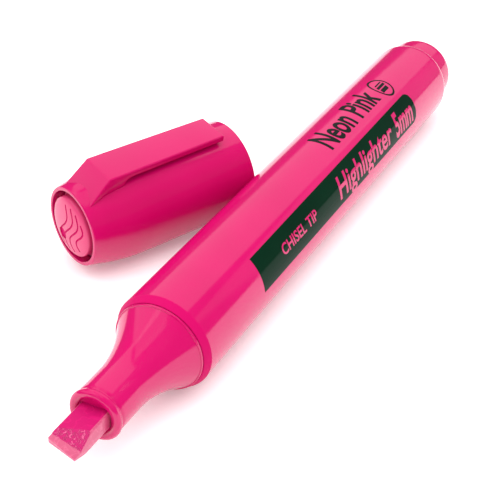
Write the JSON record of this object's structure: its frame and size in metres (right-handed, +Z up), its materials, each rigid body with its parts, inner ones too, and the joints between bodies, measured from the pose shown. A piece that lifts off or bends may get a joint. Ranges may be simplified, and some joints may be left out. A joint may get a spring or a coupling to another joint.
{
  "type": "chisel-tip highlighter pen",
  "caption": "Round-barrelled highlighter with a chisel fibre nib, a flared front section and a rounded tail plug, its clipped cap lying open beside it.",
  "frame": {"origin": "middle of the footprint of the pen and its cap together, on the surface they lie on", "axes": "+X along the pen from the nib to the tail, +Z up from the surface, +Y towards the side the cap lies on"},
  "size_m": [0.1384, 0.0462, 0.0201],
  "materials": {
    "pink_gloss": "smooth glossy injection-moulded plastic, fluorescent pink",
    "pink_satin": "satin moulded plastic, slightly paler pink",
    "nib_fibre": "dense bonded polyester fibre soaked with pink ink",
    "reservoir_fibre": "soft polyester fibre bundle soaked with pink ink",
    "film": "thin clear plastic wrap"
  },
  "bodies": {
    "pen": {"barrel": "pink_gloss", "nose_section": "pink_gloss", "nib": "nib_fibre", "reservoir_core": "reservoir_fibre", "reservoir_film": "film", "tail_plug": "pink_gloss"},
    "cap": {"cap_shell": "pink_gloss", "inner_cap": "pink_satin"},
    "clip": {"pocket_clip": "pink_gloss"}
  },
  "joints": [
    {"name": "cap_swing", "type": "hinge", "parent": "pen", "child": "cap", "pos_m": [0.04086, -0.01291, 0], "axis": [0, 0, -1], "range_deg": [0, 156.2]},
    {"name": "clip_flex", "type": "hinge", "parent": "cap", "child": "clip", "pos_m": [-0.01416, 0.01151, 0.01898], "axis": [-0.3989, -0.9044, -0.1513], "range_deg": [0, 5], "stiffness_Nm_per_rad": 0.1}
  ]
}
